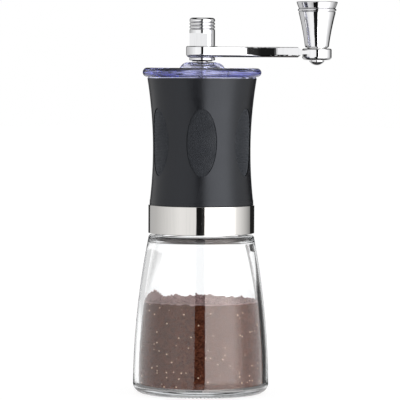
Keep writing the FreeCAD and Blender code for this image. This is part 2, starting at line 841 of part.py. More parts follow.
def crank_knob():
    """Turned knob: hollow-sided cone, a bead between two grooves, and a flared lip."""
    cone_top_z = knob_base + knob_cone_height
    bead_base = cone_top_z + knob_groove_depth
    bead_top = bead_base + knob_bead_height
    lip_base = bead_top + knob_groove_depth
    groove_radius = knob_cone_radius - knob_groove_depth
    mid_radius = (knob_base_radius + knob_cone_radius) / 2 - knob_cone_hollow
    mid_z = knob_base + knob_cone_height / 2
    profile = Section(0, knob_base).to(knob_base_radius - knob_edge_round, knob_base)
    profile.to(knob_base_radius, knob_base + knob_edge_round)
    profile.via(mid_radius, mid_z, knob_cone_radius, cone_top_z)
    profile.to(groove_radius, bead_base)
    profile.via(knob_bead_radius, bead_base + knob_bead_height / 2, groove_radius, bead_top)
    profile.to(knob_cone_radius, lip_base).to(knob_lip_radius, knob_top - knob_edge_round)
    profile.crown(knob_lip_radius - knob_edge_round, knob_top).to(0, knob_top)
    bore_top = knob_base + knob_screw_grip + knob_screw_tip
    bore = rod(knob_screw_radius + running_fit, knob_base, bore_top)
    return profile.spin().cut(bore).translated(V(crank_throw, 0, 0))


def knob_washer():
    """Washer between the eye and the knob."""
    top = eye_top + knob_washer_thickness
    washer = ring(knob_washer_radius, knob_screw_radius + running_fit, eye_top, top)
    return washer.translated(V(crank_throw, 0, 0))


def knob_screw():
    """Domed slotted screw, up through the eye into the knob."""
    head_top = eye_base - running_fit
    head_base = head_top - screw_head_height
    tip = knob_base + knob_screw_grip
    profile = Section(0, tip).to(knob_screw_radius, tip).to(knob_screw_radius, head_top)
    profile.to(screw_head_radius, head_top).to(screw_head_radius, head_top - screw_head_edge)
    profile.dome(head_base)
    slot = Part.makeBox(2 * screw_head_radius, screw_slot_width, screw_slot_depth)
    slot.translate(V(-screw_head_radius, -screw_slot_width / 2, head_base))
    return profile.spin().cut(slot).translated(V(crank_throw, 0, 0))


def nodes():
    """Every piece under its own name."""
    pieces = {
        "glass_jar": glass_jar(),
        "jar_seal": jar_seal(),
        "steel_band": steel_band(),
        "grip_body": grip_body(),
        "lid": lid(),
        "bearing_bridge": bearing_bridge(),
        "upper_bush": upper_bush(),
        "lower_bush": lower_bush(),
        "hopper_core": hopper_core(),
        "core_screws": core_screws(),
        "ring_burr": ring_burr(),
        "burr_retainer": burr_retainer(),
        "retainer_screws": retainer_screws(),
        "cone_burr": cone_burr(),
        "burr_carrier": burr_carrier(),
        "burr_spring": burr_spring(),
        "spring_washer": spring_washer(),
        "adjuster_nut": adjuster_nut(),
        "end_clip": clip(foot_stud_radius, end_clip_top - clip_thickness),
        "drive_shaft": drive_shaft(),
        "shaft_clip": clip(shaft_radius, shaft_clip_base),
        "thrust_washer": thrust_washer(),
        "hub_collar": hub_collar(),
        "crank_arm": crank_arm(),
        "crank_nut": crank_nut(),
        "crank_knob": crank_knob(),
        "knob_washer": knob_washer(),
        "knob_screw": knob_screw(),
    }
    for index, pad in enumerate(grip_pads(), start=1):
        pieces[f"grip_pad_{index}"] = pad
    return pieces


def main():
    os.makedirs("parts", exist_ok=True)
    for name, shape in nodes().items():
        if not shape.isValid():
            raise ValueError(name + " is not a valid shape")
        print(name, len(shape.Solids), "solids,", round(shape.Volume, 1), "mm3")
        shape.exportStep("parts/" + name + ".step")


main()
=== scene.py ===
import logging
import math
import random
from dataclasses import dataclass
from enum import Enum
from typing import Iterator, Self

import bmesh
import bpy
from mathutils import Matrix, Quaternion, Vector, noise


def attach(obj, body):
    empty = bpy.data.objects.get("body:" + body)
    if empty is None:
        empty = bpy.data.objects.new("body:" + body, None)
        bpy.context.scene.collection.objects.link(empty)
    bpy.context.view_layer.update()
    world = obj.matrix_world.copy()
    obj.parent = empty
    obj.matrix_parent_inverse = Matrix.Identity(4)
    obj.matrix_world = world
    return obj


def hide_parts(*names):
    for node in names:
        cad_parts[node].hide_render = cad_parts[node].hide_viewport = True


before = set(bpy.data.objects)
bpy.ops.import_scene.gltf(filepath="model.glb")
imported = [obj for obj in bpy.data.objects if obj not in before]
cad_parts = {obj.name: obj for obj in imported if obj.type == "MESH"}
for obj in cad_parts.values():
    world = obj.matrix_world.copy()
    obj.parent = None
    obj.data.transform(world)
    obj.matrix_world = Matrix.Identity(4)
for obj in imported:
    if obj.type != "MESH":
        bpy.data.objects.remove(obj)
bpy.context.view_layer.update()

LOG = logging.getLogger("grinder")
MM = 0.001
ORIGIN = Vector((0.0, 0.0, 0.0))
BACK = Vector((0.0, 1.0, 0.0))
UP = Vector((0.0, 0.0, 1.0))
HALF_ROOT = math.sqrt(0.5)
FULL_TURN = 360.0
MERGE = 1e-6
# Inputs that a Mix node has between its factor and its colours, and its output for colours.
MIX_SKIPPED = (None,) * 5
MIX_OUTPUT = 2

Colour = tuple[float, float, float, float]
Place = tuple[float, float, float]
Span = tuple[float, float]
Mesh = bmesh.types.BMesh
Node = bpy.types.Node
Socket = bpy.types.NodeSocket
Sockets = bpy.types.bpy_prop_collection
Tree = bpy.types.NodeTree


class Body(Enum):
    """The bodies of the frame that new pieces ride on."""

    JAR = "jar"
    MILL = "mill"


class Slot(Enum):
    """Names of the record's material slots, which new pieces carry with them."""

    GLASS = "clear_glass"
    PAD = "pad_rubber"


class Effect(Enum):
    """Surface effects that several finishes share."""

    GRAIN = "moulded_grain"
    SMUDGE = "handling_smudge"
    SPECK = "scattered_speck"
    HAIRLINE = "hairline_marks"


def grey(level: float) -> Colour:
    """A neutral colour of one level."""
    return (level, level, level, 1.0)


def clamp(value: float) -> float:
    """A value held between 0 and 1."""
    return min(1.0, max(0.0, value))


def polar_mm(vert: bmesh.types.BMVert) -> Span:
    """A vertex's distance from the axis and its height, in millimetres."""
    return math.hypot(vert.co.x, vert.co.y) / MM, vert.co.z / MM


def revolve(mesh: Mesh, axis: Vector, steps: int) -> None:
    """Spin a chain of vertices all the way round and close it.

    Args:
        mesh: The mesh that holds the chain.
        axis: The axis, which goes through the origin.
        steps: Pieces round the axis.
    """
    geom = mesh.verts[:] + mesh.edges[:]
    bmesh.ops.spin(mesh, geom=geom, cent=ORIGIN, axis=axis, angle=math.tau, steps=steps, use_merge=True)
    bmesh.ops.remove_doubles(mesh, verts=mesh.verts, dist=MERGE)


def stand(name: str, data: bpy.types.ID) -> bpy.types.Object:
    """Put a new object in the scene.

    Args:
        name: The object's name.
        data: Its mesh, lamp or camera.

    Returns:
        The object.
    """
    made = bpy.data.objects.new(name, data)
    bpy.context.scene.collection.objects.link(made)
    return made


@dataclass(frozen=True)
class Arc:
    """A circle through three points of a half section, in millimetres."""

    centre_r: float
    centre_z: float
    radius: float

    @staticmethod
    def through(a: Vector, b: Vector, c: Vector) -> "Arc":
        """Find the circle through three (r, z) points.

        Args:
            a: First point.
            b: A point between the ends.
            c: Last point.

        Returns:
            The circle.
        """
        ab, ac = b - a, c - a
        cross = 2.0 * (ab.x * ac.y - ab.y * ac.x)
        offset_r = (ac.y * ab.length_squared - ab.y * ac.length_squared) / cross
        offset_z = (ab.x * ac.length_squared - ac.x * ab.length_squared) / cross
        return Arc(a.x + offset_r, a.y + offset_z, math.hypot(offset_r, offset_z))

    def bearing(self, point: Vector) -> float:
        """Angle of a point as seen from the circle's centre."""
        return math.atan2(point.y - self.centre_z, point.x - self.centre_r)

    def near_side(self, z: float) -> float:
        """Radius, at one height, of the side that bulges towards the axis."""
        return self.centre_r - math.sqrt(self.radius ** 2 - (z - self.centre_z) ** 2)

    def far_side(self, z: float) -> float:
        """Radius, at one height, of the side that bulges away from the axis."""
        return self.centre_r + math.sqrt(self.radius ** 2 - (z - self.centre_z) ** 2)


class HalfSection:
    """A half section in the XZ plane, drawn run by run in millimetres and spun about Z."""

    def __init__(self, r: float, z: float) -> None:
        """Start the chain of vertices at one point."""
        self.mesh = bmesh.new()
        self.tip = self.mesh.verts.new((r * MM, 0.0, z * MM))

    @property
    def here(self) -> Vector:
        """The chain's end, as (r, z) in millimetres."""
        return Vector((self.tip.co.x / MM, self.tip.co.z / MM))

    def to(self, r: float, z: float, steps: int = 1) -> Self:
        """Extrude a straight run.

        Args:
            r: Radius at its end.
            z: Height at its end.
            steps: Pieces that the run is divided into.

        Returns:
            This section, to go on with.
        """
        start, end = self.tip.co.copy(), Vector((r * MM, 0.0, z * MM))
        for step in range(1, steps + 1):
            grown = bmesh.ops.extrude_vert_indiv(self.mesh, verts=[self.tip])
            self.tip = grown["verts"][0]
            self.tip.co = start.lerp(end, step / steps)
        return self

    def via(self, mid_r: float, mid_z: float, r: float, z: float, steps: int = 8) -> Self:
        """Spin the chain's end along an arc.

        Args:
            mid_r: Radius of a point on the arc.
            mid_z: Height of that point.
            r: Radius at the arc's end.
            z: Height at the arc's end.
            steps: Pieces that the arc is divided into.

        Returns:
            This section, to go on with.
        """
        start, mid, end = self.here, Vector((mid_r, mid_z)), Vector((r, z))
        arc = Arc.through(start, mid, end)
        to_mid = (arc.bearing(mid) - arc.bearing(start)) % math.tau
        sweep = (arc.bearing(end) - arc.bearing(start)) % math.tau
        if to_mid > sweep:
            sweep -= math.tau
        centre = (arc.centre_r * MM, 0.0, arc.centre_z * MM)
        spun = bmesh.ops.spin(self.mesh, geom=[self.tip], cent=centre, axis=BACK, angle=-sweep, steps=steps)
        self.tip = next(item for item in spun["geom_last"] if isinstance(item, bmesh.types.BMVert))
        return self

    def rise(self, r: float, z: float, steps: int = 8) -> Self:
        """Quarter round that starts level and ends upright at (r, z)."""
        here = self.here
        return self.via(here.x + (r - here.x) * HALF_ROOT, z + (here.y - z) * HALF_ROOT, r, z, steps)

    def crown(self, r: float, z: float, steps: int = 8) -> Self:
        """Quarter round that starts upright and ends level at (r, z)."""
        here = self.here
        return self.via(r + (here.x - r) * HALF_ROOT, here.y + (z - here.y) * HALF_ROOT, r, z, steps)

    def spin(self, steps: int) -> Mesh:
        """Spin the section all the way round.

        Args:
            steps: Pieces round the axis.

        Returns:
            The closed mesh, with its faces outwards.
        """
        revolve(self.mesh, UP, steps)
        bmesh.ops.recalc_face_normals(self.mesh, faces=self.mesh.faces)
        return self.mesh


class Graph:
    """Places and joins the nodes of one tree."""

    def __init__(self, tree: Tree) -> None:
        """Take a tree and clear it."""
        self.tree = tree
        tree.nodes.clear()

    def add(self, kind: str, *values: object, **settings: object) -> Node:
        """Place one node.

        Args:
            kind: The node's type, without the prefix that all shader nodes have.
            values: What its inputs take, in order, where None leaves one as it is.
            settings: Properties of the node to set.

        Returns:
            The node.
        """
        node = self.tree.nodes.new("ShaderNode" + kind)
        for name, value in settings.items():
            setattr(node, name, value)
        for socket, value in zip(node.inputs, values):
            if value is not None:
                self.feed(socket, value)
        return node

    def feed(self, socket: Socket, value: object) -> None:
        """Join an output to a socket, or set a plain value on it.

        Args:
            socket: The socket that is fed.
            value: The output or the plain value.
        """
        if isinstance(value, Socket):
            self.tree.links.new(value, socket)
        else:
            socket.default_value = value

    def calc(self, operation: str, *values: object) -> Socket:
        """Work out one value from others."""
        return self.add("Math", *values, operation=operation).outputs[0]

    def span(self, value: object, ends: tuple, to: tuple = (0.0, 1.0)) -> Socket:
        """Ease a value from the range between two ends into another range."""
        return self.add("MapRange", value, *ends, *to, interpolation_type="SMOOTHSTEP").outputs[0]

    def mix(self, factor: object, low: object, high: object) -> Socket:
        """Mix two colours by how much of the second there is."""
        return self.add("Mix", factor, *MIX_SKIPPED, low, high, data_type="RGBA").outputs[MIX_OUTPUT]

    def ramp(self, value: object, stops: list[tuple[float, Colour]]) -> Socket:
        """Draw a colour that changes evenly from stop to stop.

        Args:
            value: Where the colour is taken, from 0 to 1.
            stops: Places and their colours, in order.

        Returns:
            The colour.
        """
        node = self.add("ValToRGB", value)
        drawn = node.color_ramp.elements
        drawn[0].position, drawn[0].color = stops[0]
        drawn[1].position, drawn[1].color = stops[-1]
        for place, colour in stops[1:-1]:
            drawn.new(place).color = colour
        return node.outputs[0]

    def place(self) -> Socket:
        """The object's own coordinates."""
        return self.add("TexCoord").outputs["Object"]

    def axes(self, place: Socket) -> Sockets:
        """Split a place or a direction into its X, Y and Z."""
        return self.add("SeparateXYZ", place).outputs

    def noise(self, place: Socket, scale: object, detail: float = 2.0) -> Socket:
        """Draw soft noise of some scale, per metre, with some finer layers."""
        return self.add("TexNoise", place, None, scale, detail).outputs["Fac"]

    def cells(self, place: Socket, scale: object) -> Node:
        """Draw cells of some scale, per metre."""
        return self.add("TexVoronoi", place, None, scale)

    def chance(self, cells: Node) -> Socket:
        """Draw one random value for each cell."""
        return self.add("SeparateColor", cells.outputs["Color"]).outputs[0]

    def bump(self, height: Socket, depth: float, strength: float = 1.0) -> Socket:
        """Turn the normal by a height of some depth, in metres."""
        return self.add("Bump", strength, depth, None, height).outputs["Normal"]


class EffectKit:
    """Shader groups for the shared effects, each built once."""

    PIT_SHARE = 0.6
    CLOUD_SHARE = 0.4
    CLOUD_COARSE = 0.4
    SMUDGE_SPAN = (0.35, 0.65)
    HAIRLINE_SPAN = (0.45, 0.75)

    def tree(self, effect: Effect) -> Tree:
        """The group of one effect.

        Args:
            effect: Which effect.

        Returns:
            Its node tree, built on its first use.
        """
        built = bpy.data.node_groups.get(effect.value)
        if built is None:
            built = bpy.data.node_groups.new(effect.value, "ShaderNodeTree")
            drawing = {
                Effect.GRAIN: self._grain, Effect.SMUDGE: self._smudge,
                Effect.SPECK: self._speck, Effect.HAIRLINE: self._hairline,
            }
            drawing[effect](built)
        return built

    def use(self, graph: Graph, effect: Effect, *values: float) -> Socket:
        """Place an effect in a material, with its inputs in order."""
        return graph.add("Group", *values, node_tree=self.tree(effect)).outputs[0]

    @staticmethod
    def _open(tree: Tree, output: str, **inputs: float) -> tuple[Graph, Sockets, Sockets]:
        """Start a group.

        Args:
            tree: The group's tree.
            output: Name of the one value that it puts out.
            inputs: Names of the values it takes, with their defaults.

        Returns:
            What draws the group, what it takes and what it puts out.
        """
        for name, value in inputs.items():
            socket = tree.interface.new_socket(name=name, in_out="INPUT", socket_type="NodeSocketFloat")
            socket.default_value = value
        tree.interface.new_socket(name=output, in_out="OUTPUT", socket_type="NodeSocketFloat")
        graph = Graph(tree)
        taken, given = tree.nodes.new("NodeGroupInput"), tree.nodes.new("NodeGroupOutput")
        return graph, taken.outputs, given.inputs

    def _grain(self, tree: Tree) -> None:
        """Fine leathery grain of a moulded face.

        Args:
            tree: The group's tree.
        """
        graph, taken, given = self._open(tree, "Height", Scale=1500.0)
        place = graph.place()
        pits = graph.cells(place, taken["Scale"]).outputs["Distance"]
        coarse = graph.calc("MULTIPLY", taken["Scale"], self.CLOUD_COARSE)
        cloud = graph.calc("MULTIPLY", graph.noise(place, coarse, detail=3.0), self.CLOUD_SHARE)
        graph.feed(given[0], graph.calc("MULTIPLY_ADD", pits, self.PIT_SHARE, cloud))

    def _smudge(self, tree: Tree) -> None:
        """Slow change between two values, as handling leaves it.

        Args:
            tree: The group's tree.
        """
        graph, taken, given = self._open(tree, "Value", Scale=60.0, Low=0.0, High=1.0)
        cloud = graph.noise(graph.place(), taken["Scale"], detail=4.0)
        ends = (taken["Low"], taken["High"])
        graph.feed(given[0], graph.span(cloud, self.SMUDGE_SPAN, ends))

    def _speck(self, tree: Tree) -> None:
        """Separate specks, in a share of all cells.

        Args:
            tree: The group's tree.
        """
        graph, taken, given = self._open(tree, "Mask", Scale=900.0, Share=0.1, Size=0.25)
        cells = graph.cells(graph.place(), taken["Scale"])
        picked = graph.calc("LESS_THAN", graph.chance(cells), taken["Share"])
        inside = graph.calc("LESS_THAN", cells.outputs["Distance"], taken["Size"])
        graph.feed(given[0], graph.calc("MULTIPLY", picked, inside))

    def _hairline(self, tree: Tree) -> None:
        """Fine upright hairlines, as polishing leaves them.

        Args:
            tree: The group's tree.
        """
        graph, taken, given = self._open(tree, "Mask", Scale=900.0, Stretch=0.04)
        stretch = graph.add("CombineXYZ", 1.0, 1.0, taken["Stretch"])
        drawn_out = graph.add("Mapping", graph.place(), None, None, stretch.outputs[0])
        lines = graph.noise(drawn_out.outputs[0], taken["Scale"], detail=4.0)
        graph.feed(given[0], graph.span(lines, self.HAIRLINE_SPAN))


KIT = EffectKit()


@dataclass(frozen=True)
class Finish:
    """A procedural finish: two colours under a mask, a roughness that drifts, and a fine relief."""

    name: str
    tint: Colour = grey(1.0)
    marked: Colour = grey(1.0)
    low_rough: float = 0.0
    high_rough: float = 0.01
    smudge_scale: float = 90.0
    mark_scale: float = 45.0
    relief_scale: float = 2600.0
    relief_depth: float = 0.000004
    relief_strength: float = 1.0
    metal: float = 0.0
    mirror: float = 0.5
    mirror_tint: Colour = grey(1.0)
    bloom: float = 0.0
    bloom_tint: Colour = grey(1.0)
    clearness: float = 0.0
    index: float = 1.5

    def mask(self, graph: Graph) -> Socket:
        """Draw where the second colour is: in slow patches, as handling leaves them."""
        return KIT.use(graph, Effect.SMUDGE, self.mark_scale, 0.0, 1.0)

    def colour(self, graph: Graph) -> Socket:
        """Draw the two colours."""
        return graph.mix(self.mask(graph), self.tint, self.marked)

    def rough(self, graph: Graph) -> Socket:
        """Draw a roughness that changes slowly between two values."""
        return KIT.use(graph, Effect.SMUDGE, self.smudge_scale, self.low_rough, self.high_rough)

    def normal(self, graph: Graph) -> Socket:
        """Turn the normal by a grain."""
        grain = KIT.use(graph, Effect.GRAIN, self.relief_scale)
        return graph.bump(grain, self.relief_depth, self.relief_strength)

    def depth(self, graph: Graph) -> Socket | None:
        """Draw what dims light on its way through, if anything does."""
        return None

    def material(self) -> bpy.types.Material:
        """Draw the finish's material on its first use.

        Returns:
            The material.
        """
        title = f"{self.name}_finish"
        made = bpy.data.materials.get(title)
        if made is None:
            made = bpy.data.materials.new(title)
            made.use_nodes = True
            graph = Graph(made.node_tree)
            surface = graph.add("BsdfPrincipled")
            values = {
                "Base Color": self.colour(graph), "Roughness": self.rough(graph),
                "Normal": self.normal(graph), "Metallic": self.metal,
                "Specular IOR Level": self.mirror, "Specular Tint": self.mirror_tint,
                "Sheen Weight": self.bloom, "Sheen Tint": self.bloom_tint,
                "Transmission Weight": self.clearness, "IOR": self.index,
            }
            for name, value in values.items():
                graph.feed(surface.inputs[name], value)
            graph.add("OutputMaterial", surface.outputs[0], self.depth(graph))
        return made


@dataclass(frozen=True)
class PolishedMetal(Finish):
    """Bright metal with faint smudges, a little duller along its hairlines."""

    tint: Colour = (0.71, 0.71, 0.72, 1.0)
    marked: Colour = (0.67, 0.67, 0.68, 1.0)
    low_rough: float = 0.02
    high_rough: float = 0.05
    smudge_scale: float = 70.0
    mark_scale: float = 1400.0
    relief_depth: float = 0.000002
    metal: float = 1.0
    lean: float = 0.0

    def mask(self, graph: Graph) -> Socket:
        """Draw the hairlines."""
        return KIT.use(graph, Effect.HAIRLINE, self.mark_scale)

    def normal(self, graph: Graph) -> Socket:
        """Turn the normal by the hairlines and by a slight lean along X."""
        slope = graph.calc("MULTIPLY", graph.axes(graph.place())["X"], self.lean / self.relief_depth)
        return graph.bump(graph.calc("ADD", self.mask(graph), slope), self.relief_depth)


@dataclass(frozen=True)
class GapShadedMetal(PolishedMetal):
    """Bright metal with a painted shade ring at its foot, standing in for the shadow in the gap below it."""

    # Painted shade: a near-black ring below one height, standing in for the shadow in the gap under the
    # collar.
    gap_shade: Colour = (0.006, 0.005, 0.005, 1.0)
    gap_shade_top: float = 0.1786
    gap_shade_edge: float = 0.0001

    def colour(self, graph: Graph) -> Socket:
        """Paint shade over the metal below one height."""
        above = graph.span(graph.axes(graph.place())["Z"], (self.gap_shade_top - self.gap_shade_edge, self.gap_shade_top))
        return graph.mix(above, self.gap_shade, super().colour(graph))


@dataclass(frozen=True)
class MouldedPlastic(Finish):
    """Opaque plastic with a fine moulded grain."""

    tint: Colour = (0.0085, 0.009, 0.0112, 1.0)
    marked: Colour = (0.0105, 0.011, 0.0132, 1.0)
    low_rough: float = 0.28
    high_rough: float = 0.34
    mirror: float = 0.37
    mirror_tint: Colour = (0.88, 0.92, 1.0, 1.0)


@dataclass(frozen=True)
class Speckled(Finish):
    """A finish with its second colour in specks, in a share of cells and of some size in a cell."""

    mark_scale: float = 1400.0
    speck_share: float = 0.05
    speck_size: float = 0.2

    def mask(self, graph: Graph) -> Socket:
        """Draw the specks."""
        return KIT.use(graph, Effect.SPECK, self.mark_scale, self.speck_share, self.speck_size)


@dataclass(frozen=True)
class SoftRubber(Speckled):
    """Matt rubber with a little lint in it."""

    tint: Colour = (0.021, 0.0235, 0.029, 1.0)
    marked: Colour = (0.05, 0.05, 0.052, 1.0)
    low_rough: float = 0.57
    high_rough: float = 0.67
    smudge_scale: float = 120.0
    relief_scale: float = 3500.0
    relief_depth: float = 0.00002
    mirror: float = 0.3
    bloom: float = 0.28
    bloom_tint: Colour = (0.85, 0.9, 1.0, 1.0)


@dataclass(frozen=True)
class ClearBody(Finish):
    """Clear glass or plastic with a slight wave in its surface, which takes its tint from its depth."""

    marked: Colour = (0.995, 0.998, 1.0, 1.0)
    smudge_scale: float = 55.0
    mark_scale: float = 30.0
    relief_scale: float = 45.0
    relief_depth: float = 0.00002
    clearness: float = 1.0
    depth_tint: Colour = grey(1.0)
    density: float = 0.0

    def normal(self, graph: Graph) -> Socket:
        """Turn the normal by a slow wave."""
        return graph.bump(graph.noise(graph.place(), self.relief_scale, detail=1.0), self.relief_depth)

    def depth(self, graph: Graph) -> Socket | None:
        """Tint light by how far it goes through."""
        return graph.add("VolumeAbsorption", self.depth_tint, self.density).outputs[0]


@dataclass(frozen=True)
class GroundCoffee(Speckled):
    """Ground coffee: crumbs of mixed brown, a paler top above one height that is partly dust and partly
    painted light from above, and a little pale chaff.
    """

    tint: Colour = (0.042, 0.011, 0.006, 1.0)
    light: Colour = (0.165, 0.05, 0.026, 1.0)
    marked: Colour = (1.0, 0.7, 0.48, 1.0)
    mark_scale: float = 800.0
    speck_share: float = 0.06
    speck_size: float = 0.3
    low_rough: float = 0.9
    high_rough: float = 0.9
    relief_scale: float = 1700.0
    relief_depth: float = 0.00012
    relief_strength: float = 0.8
    mirror: float = 0.05
    # The pale top is partly fine dust and partly painted light, lightening the top where light falls on it
    # from above.
    dust_and_top_light: Colour = (0.68, 0.49, 0.485, 1.0)
    dust_light_foot: float = 0.0498
    dust_light_edge: float = 0.0009
    dust_light_share: float = 0.75
    ragged: float = 0.002
    ragged_scale: float = 420.0

    def colour(self, graph: Graph) -> Socket:
        """Draw the crumbs, the pale top of dust and painted light, and the chaff.

        Args:
            graph: The material's tree.

        Returns:
            The colour.
        """
        place = graph.place()
        shade = graph.chance(graph.cells(place, self.relief_scale))
        brown = graph.mix(shade, self.tint, self.light)
        cloud = graph.noise(place, self.ragged_scale)
        height = graph.calc("MULTIPLY_ADD", cloud, self.ragged, graph.axes(place)["Z"])
        # Lighten the coffee above one height: partly dust, partly painted light from above.
        dusty_lit = graph.span(height, (self.dust_light_foot, self.dust_light_foot + self.dust_light_edge), (0.0, self.dust_light_share))
        brown = graph.mix(dusty_lit, brown, self.dust_and_top_light)
        return graph.mix(self.mask(graph), brown, self.marked)


@dataclass(frozen=True)
class FiredCeramic(Speckled):
    """Fine pale ceramic with small specks."""

    tint: Colour = (0.62, 0.59, 0.53, 1.0)
    marked: Colour = (0.36, 0.33, 0.29, 1.0)
    mark_scale: float = 1600.0
    speck_share: float = 0.12
    speck_size: float = 0.3
    low_rough: float = 0.38
    high_rough: float = 0.5
    smudge_scale: float = 80.0
    relief_scale: float = 2400.0
    relief_depth: float = 0.000012


CHROME = PolishedMetal("polished_chrome")
ARM_CHROME = PolishedMetal("arm_chrome", lean=0.028)
# The collar's finish paints shade in a dark ring at its foot, where the gap under it is in shadow.
COLLAR_CHROME = GapShadedMetal("collar_chrome")
BAND_STEEL = PolishedMetal(
    "band_steel", (0.6, 0.585, 0.565, 1.0), (0.57, 0.56, 0.54, 1.0),
    low_rough=0.03, high_rough=0.06, mark_scale=900.0,
)
TURNED_STEEL = PolishedMetal(
    "turned_steel", (0.52, 0.51, 0.5, 1.0), (0.42, 0.41, 0.4, 1.0),
    low_rough=0.16, high_rough=0.28, mark_scale=1800.0, relief_depth=0.000006,
)
BLACK_PLASTIC = MouldedPlastic("black_plastic")
WHITE_PLASTIC = MouldedPlastic(
    "white_plastic", grey(0.72), (0.7, 0.69, 0.66, 1.0),
    low_rough=0.3, high_rough=0.4, relief_scale=1800.0, relief_depth=0.000006, mirror=0.5,
)
PAD_RUBBER = SoftRubber("pad_rubber")
SEAL_RUBBER = SoftRubber("seal_rubber", (0.5, 0.5, 0.49, 1.0), grey(0.4), low_rough=0.45, high_rough=0.55)
VIOLET_CLEAR = ClearBody(
    "violet_clear", (0.9, 0.91, 1.0, 1.0), (0.88, 0.89, 0.99, 1.0),
    relief_scale=120.0, relief_depth=0.000004, clearness=0.97, index=1.49,
    depth_tint=(0.22, 0.25, 0.82, 1.0), density=25.0,
)
JAR_GLASS = ClearBody(
    "jar_glass", mirror_tint=(1.0, 0.9, 0.86, 1.0), depth_tint=(0.34, 0.36, 0.38, 1.0), density=9.0,
)
COFFEE = GroundCoffee("ground_coffee")
CERAMIC = FiredCeramic("burr_ceramic")

NODE_FINISHES: dict[Finish, tuple[str, ...]] = {
    CHROME: ("crank_nut", "crank_knob", "knob_screw"),
    ARM_CHROME: ("crank_arm",),
    COLLAR_CHROME: ("hub_collar",),
    BAND_STEEL: ("steel_band",),
    TURNED_STEEL: (
        "drive_shaft", "shaft_clip", "end_clip", "thrust_washer", "knob_washer", "spring_washer",
        "burr_spring", "burr_retainer", "retainer_screws", "core_screws",
    ),
    BLACK_PLASTIC: ("grip_body", "hopper_core", "bearing_bridge", "burr_carrier", "adjuster_nut"),
    WHITE_PLASTIC: ("upper_bush", "lower_bush"),
    SEAL_RUBBER: ("jar_seal",),
    VIOLET_CLEAR: ("lid",),
    CERAMIC: ("ring_burr", "cone_burr"),
}


@dataclass
class Piece:
    """A finished mesh, ready to ride on a body."""

    name: str
    mesh: Mesh
    finish: Finish
    body: Body
    slot: Slot | None = None
    replaces: tuple[str, ...] = ()
    crease: float = math.radians(35.0)

    def place(self) -> None:
        """Make the object, smooth it, dress it and let it ride."""
        for face in self.mesh.faces:
            face.smooth = True
        for edge in self.mesh.edges:
            if edge.is_manifold and edge.calc_face_angle() > self.crease:
                edge.smooth = False
        data = bpy.data.meshes.new(self.name)
        self.mesh.to_mesh(data)
        self.mesh.free()
        data.materials.append(self.finish.material())
        made = stand(self.name, data)
        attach(made, self.body.value)
        if self.replaces:
            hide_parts(*self.replaces)
        LOG.info("%s: %d faces on %s", self.name, len(data.polygons), self.body.value)


